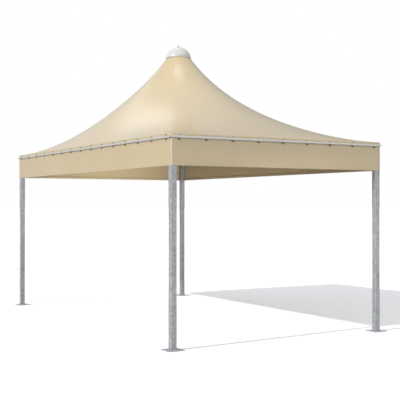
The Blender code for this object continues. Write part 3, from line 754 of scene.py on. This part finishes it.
def coated_fabric():
    """Beige PVC-coated polyester: a soft gloss lacquer over a fine scrim, lit a little from behind,
    with darker hip welds and a pale stripe down each valance corner, a painted highlight on the
    rounded fold. The scrim's threads, 1 mm apart, are drawn 6 mm apart so that they can show at all."""
    made, tree = new_material("pvc_coated_polyester")
    cloth = add(tree, "ShaderNodeUVMap", uv_map="cloth").outputs["UV"]
    place = add(tree, "ShaderNodeTexCoord").outputs["Object"]
    cloud = add(tree, "ShaderNodeTexNoise",
                {"Vector": place, "Scale": FABRIC_CLOUDS, "Detail": 4.0, "Roughness": 0.6})
    tone = two_tones(tree, cloud.outputs["Fac"], 0.35, FABRIC_DARK, 0.65, FABRIC_LIGHT)
    hip = add(tree, "ShaderNodeAttribute", attribute_name="hip_distance").outputs["Fac"]
    weld = add(tree, "ShaderNodeMapRange",
               {"Value": hip, "From Min": HIP_WELD_HALF_WIDTH,
                "From Max": HIP_WELD_HALF_WIDTH + HIP_WELD_EDGE, "To Min": 1.0, "To Max": 0.0})
    depth = add(tree, "ShaderNodeMath", {"Value": weld.outputs["Result"], "Value_001": HIP_WELD_TINT},
                operation="MULTIPLY")
    colour = add(tree, "ShaderNodeMix", {"Factor": depth.outputs["Value"], "A_Color": tone,
                                         "B_Color": linear(FABRIC_WELD)}, data_type="RGBA")
    height = add(tree, "ShaderNodeSeparateXYZ", {"Vector": place}).outputs["Z"]
    hanging = add(tree, "ShaderNodeMath", {"Value": height, "Value_001": CORNER_HIGHLIGHT_TOP},
                  operation="LESS_THAN")
    # A pale stripe down each valance corner, below the eave: a painted highlight on the rounded fold
    at_corner = add(tree, "ShaderNodeMapRange",
                    {"Value": hip, "From Min": CORNER_HIGHLIGHT_WIDTH,
                     "From Max": CORNER_HIGHLIGHT_WIDTH + CORNER_HIGHLIGHT_EDGE, "To Min": CORNER_HIGHLIGHT_TINT,
                     "To Max": 0.0})
    corner_highlight = add(tree, "ShaderNodeMath",
                {"Value": hanging.outputs["Value"], "Value_001": at_corner.outputs["Result"]},
                operation="MULTIPLY")
    colour = add(tree, "ShaderNodeMix", {"Factor": corner_highlight.outputs["Value"], "A_Color": result(colour),
                                         "B_Color": linear(FABRIC_CORNER_HIGHLIGHT)}, data_type="RGBA")
    # A wave texture has one band in each pi / 10 of its own length
    warp, weft = [add(tree, "ShaderNodeTexWave", {"Vector": cloth, "Scale": math.pi / 10 / SCRIM_PITCH},
                      bands_direction=direction) for direction in ("X", "Y")]
    scrim = add(tree, "ShaderNodeMath",
                {"Value": warp.outputs["Fac"], "Value_001": weft.outputs["Fac"]}, operation="ADD")
    relief = add(tree, "ShaderNodeBump",
                 {"Height": scrim.outputs["Value"], "Strength": 0.05, "Distance": SCRIM_RELIEF})
    ridge = add(tree, "ShaderNodeBump",
                {"Height": weld.outputs["Result"], "Strength": 0.25, "Distance": HIP_WELD_RELIEF,
                 "Normal": relief.outputs["Normal"]})
    wear = add(tree, "ShaderNodeTexNoise",
               {"Vector": place, "Scale": FABRIC_WEAR_SCALE, "Detail": 3.0})
    gloss = add(tree, "ShaderNodeMapRange",
                {"Value": wear.outputs["Fac"], "To Min": FABRIC_ROUGHNESS - FABRIC_WEAR,
                 "To Max": FABRIC_ROUGHNESS + FABRIC_WEAR})
    lacquer = add(tree, "ShaderNodeBsdfPrincipled",
                  {"Base Color": result(colour), "Roughness": gloss.outputs["Result"], "IOR": 1.50,
                   "Coat Weight": FABRIC_LACQUER, "Coat Roughness": FABRIC_ROUGHNESS,
                   "Normal": ridge.outputs["Normal"]})
    through = add(tree, "ShaderNodeBsdfTranslucent", {"Color": linear(FABRIC_INNER_GLOW)})
    both = add(tree, "ShaderNodeMixShader", {"Fac": FABRIC_THROUGH, "Shader": lacquer.outputs["BSDF"],
                                             "Shader_001": through.outputs["BSDF"]})
    add(tree, "ShaderNodeOutputMaterial", {"Surface": both.outputs["Shader"]})
    return made


sheet_rows, sheet_columns = canopy_rows()
add_ripple(sheet_rows, sheet_columns)
row_count = len(sheet_rows)
column_count = len(sheet_columns)
sheet_points = np.concatenate(sheet_rows)
sheet_faces = []
for i in range(row_count - 1):
    for j in range(column_count):
        n = (j + 1) % column_count
        here, below = i * column_count, (i + 1) * column_count
        sheet_faces.append((here + j, below + j, below + n, here + n))
canopy = placed_mesh("canopy", sheet_points, sheet_faces)

# The cloth's own map: distance along its eave, and distance down the sheet, both in metres
grid = sheet_points.reshape(row_count, column_count, 3)
down_sheet = np.zeros((row_count, column_count))
down_sheet[1:] = np.cumsum(np.linalg.norm(np.diff(grid, axis=0), axis=-1), axis=0)
cloth_map = canopy.data.uv_layers.new(name="cloth")
for polygon in canopy.data.polygons:
    side = sheet_columns[polygon.index % column_count][3]
    for corner_index in polygon.loop_indices:
        vertex = canopy.data.loops[corner_index].vertex_index
        along_eave = sheet_points[vertex][side % 2]
        cloth_map.data[corner_index].uv = (along_eave, down_sheet.flat[vertex])

# Distance from the welded hip line that runs from each corner to the crown
corner_place = np.array([HALF_LENGTH, HALF_WIDTH])
hip_start = SKIN_TOP_RADIUS * corner_place / np.linalg.norm(corner_place)
hip_run = (corner_place - hip_start) / np.linalg.norm(corner_place - hip_start)
from_hip = np.abs(sheet_points[:, :2]) - corner_place
hip_distance = np.abs(from_hip[:, 0] * hip_run[1] - from_hip[:, 1] * hip_run[0])
hanging = sheet_points[:, 2] < EAVE_HEIGHT - FOLD_RADIUS
hip_distance[hanging] = np.abs(from_hip[hanging]).max(axis=1)
hip_layer = canopy.data.attributes.new("hip_distance", "FLOAT", "POINT")
hip_layer.data.foreach_set("value", hip_distance)

canopy.data.materials.append(coated_fabric())
smooth = canopy.modifiers.new("smooth", "SUBSURF")
smooth.levels = 1
smooth.render_levels = 1
wall = canopy.modifiers.new("wall", "SOLIDIFY")
wall.thickness = SHEET_THICKNESS
wall.offset = -1.0
graph = bpy.context.evaluated_depsgraph_get()
canopy_mesh = bpy.data.meshes.new_from_object(canopy.evaluated_get(graph), depsgraph=graph,
                                              preserve_all_data_layers=True)
canopy.modifiers.clear()
canopy.data = canopy_mesh
canopy.data.name = "canopy"
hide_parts("roof_membrane", "valance_front", "valance_back", "valance_left", "valance_right")
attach(canopy, "root")


# Edge rails and their clamps
# A slim aluminium tube runs along each side under the eave, pressed against the fabric by
# stainless saddle clamps. A small hex bolt sits above the tube. Under each clamp's lower foot sits a
# dark brown-grey block that is painted shadow below the clamp; plastic plugs close the tube's ends.
RAIL_RADIUS = 0.0125
CLAMP_PITCH = 0.350
CLAMP_FOOT_MIDDLE = 0.0235
CLAMP_FOOT_FACE = 0.0033
CLAMP_BOLT_WIDTH = 0.013
CLAMP_BOLT_HEIGHT = 0.0055
CLAMP_WASHER_RADIUS = 0.0085
CLAMP_WASHER_THICKNESS = 0.0015
# Size of the dark block of painted shadow under each clamp's lower foot
SHADOW_BLOCK_WIDTH = 0.040
SHADOW_BLOCK_HEIGHT = 0.020
SHADOW_BLOCK_DEPTH = 0.0085
SHADOW_BLOCK_CORNER_SHARE = 0.35
SHADOW_BLOCK_CORNER_STEPS = 3
SHADOW_BLOCK_RINGS = ((1.0, 0.0), (1.0, 0.55), (0.93, 0.85), (0.70, 1.0))
PLUG_FLANGE = 0.003
PLUG_SIDES = 20
PLUG_RINGS = ((1.0, 0.0), (1.0, 0.6), (0.86, 1.0), (0.4, 1.2))
RAIL_METALLIC = 0.60
RAIL_ROUGHNESS = 0.42
CLAMP_ROUGHNESS = 0.38
CLAMP_GREY = "BDBCBA"
CLAMP_STARTS = (0.0004, 0.0008)
DRAWN_LINE_ALONG = 4.0
DRAWN_LINE_ACROSS = 900.0
MOULDING_DUST = 90.0
MOULDING_GRAIN = 1200.0
MOULDING_GRAIN_DEPTH = 0.0004
SIDES = {
    "front": (Vector((1, 0, 0)), Vector((0, -1, 0)), HALF_LENGTH, HALF_WIDTH),
    "back": (Vector((-1, 0, 0)), Vector((0, 1, 0)), HALF_LENGTH, HALF_WIDTH),
    "left": (Vector((0, -1, 0)), Vector((-1, 0, 0)), HALF_WIDTH, HALF_LENGTH),
    "right": (Vector((0, 1, 0)), Vector((1, 0, 0)), HALF_WIDTH, HALF_LENGTH),
}


def rail_metal(name, across_axis, rail_place, rail_height):
    """Satin anodised tube with fine drawn lines along it, over half of it shining as metal; past the
    tube's own radius the surface is a clamp, in smoother pressed stainless steel."""
    made, tree = new_material(name)
    place = add(tree, "ShaderNodeTexCoord").outputs["Object"]
    parts = add(tree, "ShaderNodeSeparateXYZ", {"Vector": place})
    across = add(tree, "ShaderNodeMath", {"Value": parts.outputs[across_axis]}, operation="ABSOLUTE")
    off = add(tree, "ShaderNodeMath", {"Value": across.outputs["Value"], "Value_001": rail_place},
              operation="SUBTRACT")
    up = add(tree, "ShaderNodeMath", {"Value": parts.outputs["Z"], "Value_001": rail_height},
             operation="SUBTRACT")
    spot = add(tree, "ShaderNodeCombineXYZ", {"X": off.outputs["Value"], "Y": up.outputs["Value"]})
    radius = add(tree, "ShaderNodeVectorMath", {"Vector": spot.outputs["Vector"]}, operation="LENGTH")
    is_clamp = add(tree, "ShaderNodeMapRange",
                   {"Value": radius.outputs["Value"], "From Min": RAIL_RADIUS + CLAMP_STARTS[0],
                    "From Max": RAIL_RADIUS + CLAMP_STARTS[1]})
    fine = [DRAWN_LINE_ACROSS] * 3
    fine["YX".index(across_axis)] = DRAWN_LINE_ALONG
    drawn = add(tree, "ShaderNodeMapping", {"Vector": place, "Scale": fine})
    lines = add(tree, "ShaderNodeTexNoise",
                {"Vector": drawn.outputs["Vector"], "Scale": 1.0, "Detail": 2.0})
    tube = two_tones(tree, lines.outputs["Fac"], 0.3, "B7B5B0", 0.7, "C5C3BE")
    colour = add(tree, "ShaderNodeMix", {"Factor": is_clamp.outputs["Result"], "A_Color": tube,
                                         "B_Color": linear(CLAMP_GREY)}, data_type="RGBA")
    gloss = add(tree, "ShaderNodeMapRange",
                {"Value": is_clamp.outputs["Result"], "To Min": RAIL_ROUGHNESS,
                 "To Max": CLAMP_ROUGHNESS})
    shader = add(tree, "ShaderNodeBsdfPrincipled",
                 {"Base Color": result(colour), "Metallic": RAIL_METALLIC,
                  "Roughness": gloss.outputs["Result"]})
    add(tree, "ShaderNodeOutputMaterial", {"Surface": shader.outputs["BSDF"]})
    return made


def matt_moulding_and_painted_shadow(name, light, dark):
    """Matt moulded plastic with a fine spark-eroded grain and a little dust; darker, it paints the
    shadow blocks under the clamps.
    """
    made, tree = new_material(name)
    place = add(tree, "ShaderNodeTexCoord").outputs["Object"]
    dust = add(tree, "ShaderNodeTexNoise", {"Vector": place, "Scale": MOULDING_DUST, "Detail": 4.0})
    tone = two_tones(tree, dust.outputs["Fac"], 0.4, dark, 0.8, light)
    grain = add(tree, "ShaderNodeTexNoise", {"Vector": place, "Scale": MOULDING_GRAIN})
    relief = add(tree, "ShaderNodeBump",
                 {"Height": grain.outputs["Fac"], "Strength": 0.2, "Distance": MOULDING_GRAIN_DEPTH})
    shader = add(tree, "ShaderNodeBsdfPrincipled",
                 {"Base Color": tone, "Roughness": 0.62, "IOR": 1.50,
                  "Normal": relief.outputs["Normal"]})
    add(tree, "ShaderNodeOutputMaterial", {"Surface": shader.outputs["BSDF"]})
    return made


def shadow_block_pattern():
    """A low rounded block, wider than it is tall, domed towards its middle."""
    points, faces = [], []
    outline = []
    corner = SHADOW_BLOCK_HEIGHT * SHADOW_BLOCK_CORNER_SHARE
    for turn_x, turn_y, start in ((1, 1, 0), (-1, 1, 90), (-1, -1, 180), (1, -1, 270)):
        for i in range(SHADOW_BLOCK_CORNER_STEPS + 1):
            angle_here = math.radians(start + 90 * i / SHADOW_BLOCK_CORNER_STEPS)
            outline.append((turn_x * (SHADOW_BLOCK_WIDTH / 2 - corner) + corner * math.cos(angle_here),
                            turn_y * (SHADOW_BLOCK_HEIGHT / 2 - corner) + corner * math.sin(angle_here)))
    for share, height in SHADOW_BLOCK_RINGS:
        points += [(x * share, y * share, SHADOW_BLOCK_DEPTH * height) for x, y in outline]
    count = len(outline)
    for level in range(len(SHADOW_BLOCK_RINGS) - 1):
        for i in range(count):
            here, beside = level * count + i, level * count + (i + 1) % count
            faces.append((here, beside, beside + count, here + count))
    faces.append(tuple(reversed(range(count))))
    faces.append(tuple(range(len(points) - count, len(points))))
    return placed_mesh("clamp_cover", points, faces)


def plug_pattern():
    """A plastic end plug: a thin flange on the tube's end, with a low domed middle."""
    points, faces = [], []
    stacked(points, faces, PLUG_SIDES,
            [(RAIL_RADIUS * across, PLUG_FLANGE * height) for across, height in PLUG_RINGS])
    return placed_mesh("rail_plug", points, faces)


rail_low, rail_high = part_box("rail_front")
rail_height = (rail_low.z + rail_high.z) / 2
rail_reach = GAP + RAIL_RADIUS
finish_nodes(["rail_front", "rail_back"],
             rail_metal("anodised_rail_long", "Y", HALF_WIDTH + rail_reach, rail_height))
finish_nodes(["rail_left", "rail_right"],
             rail_metal("anodised_rail_short", "X", HALF_LENGTH + rail_reach, rail_height))
bolts, shadow_blocks, plugs = [], [], []
for along_side, out, half_run, half_across in SIDES.values():
    count = int(2 * half_run / CLAMP_PITCH + 0.5)
    face = out * (half_across + CLAMP_FOOT_FACE) + UP * rail_height
    for i in range(count):
        place = face + along_side * (CLAMP_PITCH * (i - (count - 1) / 2))
        bolts.append((place + UP * CLAMP_FOOT_MIDDLE, out, along_side))
        shadow_blocks.append((place - UP * CLAMP_FOOT_MIDDLE - out * CLAMP_FOOT_FACE, out, along_side))
    middle = out * (half_across + rail_reach) + UP * rail_height
    for end in (-1, 1):
        plugs.append((middle + along_side * (end * half_run), along_side * end, UP))
small_bolt = hex_bolt("clamp_bolt", CLAMP_BOLT_WIDTH, CLAMP_BOLT_HEIGHT, CLAMP_WASHER_RADIUS,
                      CLAMP_WASHER_THICKNESS)
shadow_block = shadow_block_pattern()
plug = plug_pattern()
dark_zinc = plated_steel("weathered_zinc_bolt", "8F9091", "6E7072", 0.45)
fixings("clamp_bolts", bolts, small_bolt, dark_zinc)
# The dark brown-grey of the blocks under the clamps is painted shadow below each clamp.
painted_shadow_finish = matt_moulding_and_painted_shadow("matt_moulding_and_painted_shadow", "857A62", "6E634E")
plug_plastic = matt_moulding_and_painted_shadow("moulded_plug", "C2C1BD", "B0AFAB")
fixings("clamp_covers", shadow_blocks, shadow_block, painted_shadow_finish)
fixings("rail_plugs", plugs, plug, plug_plastic)
for pattern in (bolt, pivot_head, pivot_nut, small_bolt, shadow_block, plug):
    bpy.data.objects.remove(pattern, do_unlink=True)


# Dome cap and finial
# A moulded light grey plastic dome keeps rain out of the crown. A turned metal finial screws
# down through it into the mast's top plate.
STREAK_SCALE = (5.0, 5.0, 42.0)


def cap_plastic():
    """Soft-gloss plastic, with faint level streaks where rain has carried dust round the dome."""
    made, tree = new_material("moulded_cap_plastic")
    place = add(tree, "ShaderNodeTexCoord").outputs["Object"]
    stretched = add(tree, "ShaderNodeMapping", {"Vector": place, "Scale": STREAK_SCALE})
    streaks = add(tree, "ShaderNodeTexNoise",
                  {"Vector": stretched.outputs["Vector"], "Scale": 1.0, "Detail": 4.0,
                   "Distortion": 0.6})
    tone = two_tones(tree, streaks.outputs["Fac"], 0.35, "B5B6B4", 0.60, "C6C6C4")
    gloss = add(tree, "ShaderNodeMapRange",
                {"Value": streaks.outputs["Fac"], "To Min": 0.50, "To Max": 0.40})
    shader = add(tree, "ShaderNodeBsdfPrincipled",
                 {"Base Color": tone, "Roughness": gloss.outputs["Result"], "IOR": 1.49})
    add(tree, "ShaderNodeOutputMaterial", {"Surface": shader.outputs["BSDF"]})
    return made


finish_nodes(["dome_cap"], cap_plastic())
finish_nodes(["finial"], plated_steel("turned_finial_metal", "9A9A98", "7C7D7C", 0.40))
